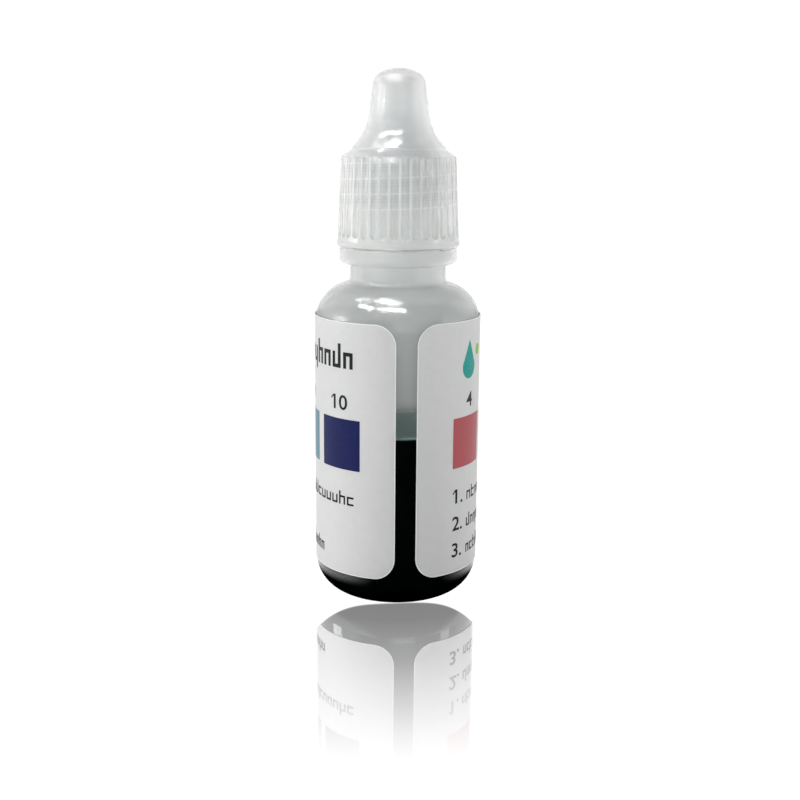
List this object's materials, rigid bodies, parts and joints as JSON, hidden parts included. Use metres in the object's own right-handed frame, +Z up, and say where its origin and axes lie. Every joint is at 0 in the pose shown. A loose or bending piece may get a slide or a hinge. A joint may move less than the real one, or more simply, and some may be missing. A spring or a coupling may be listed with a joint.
{
  "type": "dropper bottle",
  "caption": "Small round squeeze bottle of translucent plastic with a wrap-around label, dark reagent inside, a press-in dropper tip and a fluted screw cap with a tall nose.",
  "frame": {"origin": "centre of the foot ring, on the bottle's axis, where the bottle stands", "axes": "+Z up along the bottle's axis; the gap between the label's ends faces -Y"},
  "size_m": [0.025, 0.0249, 0.0791],
  "materials": {
    "bottle_plastic": "satin",
    "cap_plastic": "satin",
    "tip_plastic": "satin",
    "reagent_liquid": "gloss",
    "label_paper": "satin"
  },
  "bodies": {
    "bottle": {"bottle": "bottle_plastic", "reagent": "reagent_liquid", "dropper_tip": "tip_plastic", "label": "label_paper"},
    "tamper_ring": {"tamper_ring": "cap_plastic", "tamper_webs": "cap_plastic"},
    "cap": {"cap": "cap_plastic"}
  },
  "joints": [
    {"name": "cap_turn", "type": "hinge", "parent": "bottle", "child": "tamper_ring", "pos_m": [0, 0, 0.052], "axis": [0, 0, 1], "range_deg": [0, 4320]},
    {"name": "cap_lift", "type": "slide", "parent": "tamper_ring", "child": "cap", "axis": [0, 0, 1], "range_m": [0, 0.0264]}
  ],
  "couplings": [
    {"joint": "cap_lift", "follows": "cap_turn", "m_per_rad": 0.00035014}
  ]
}
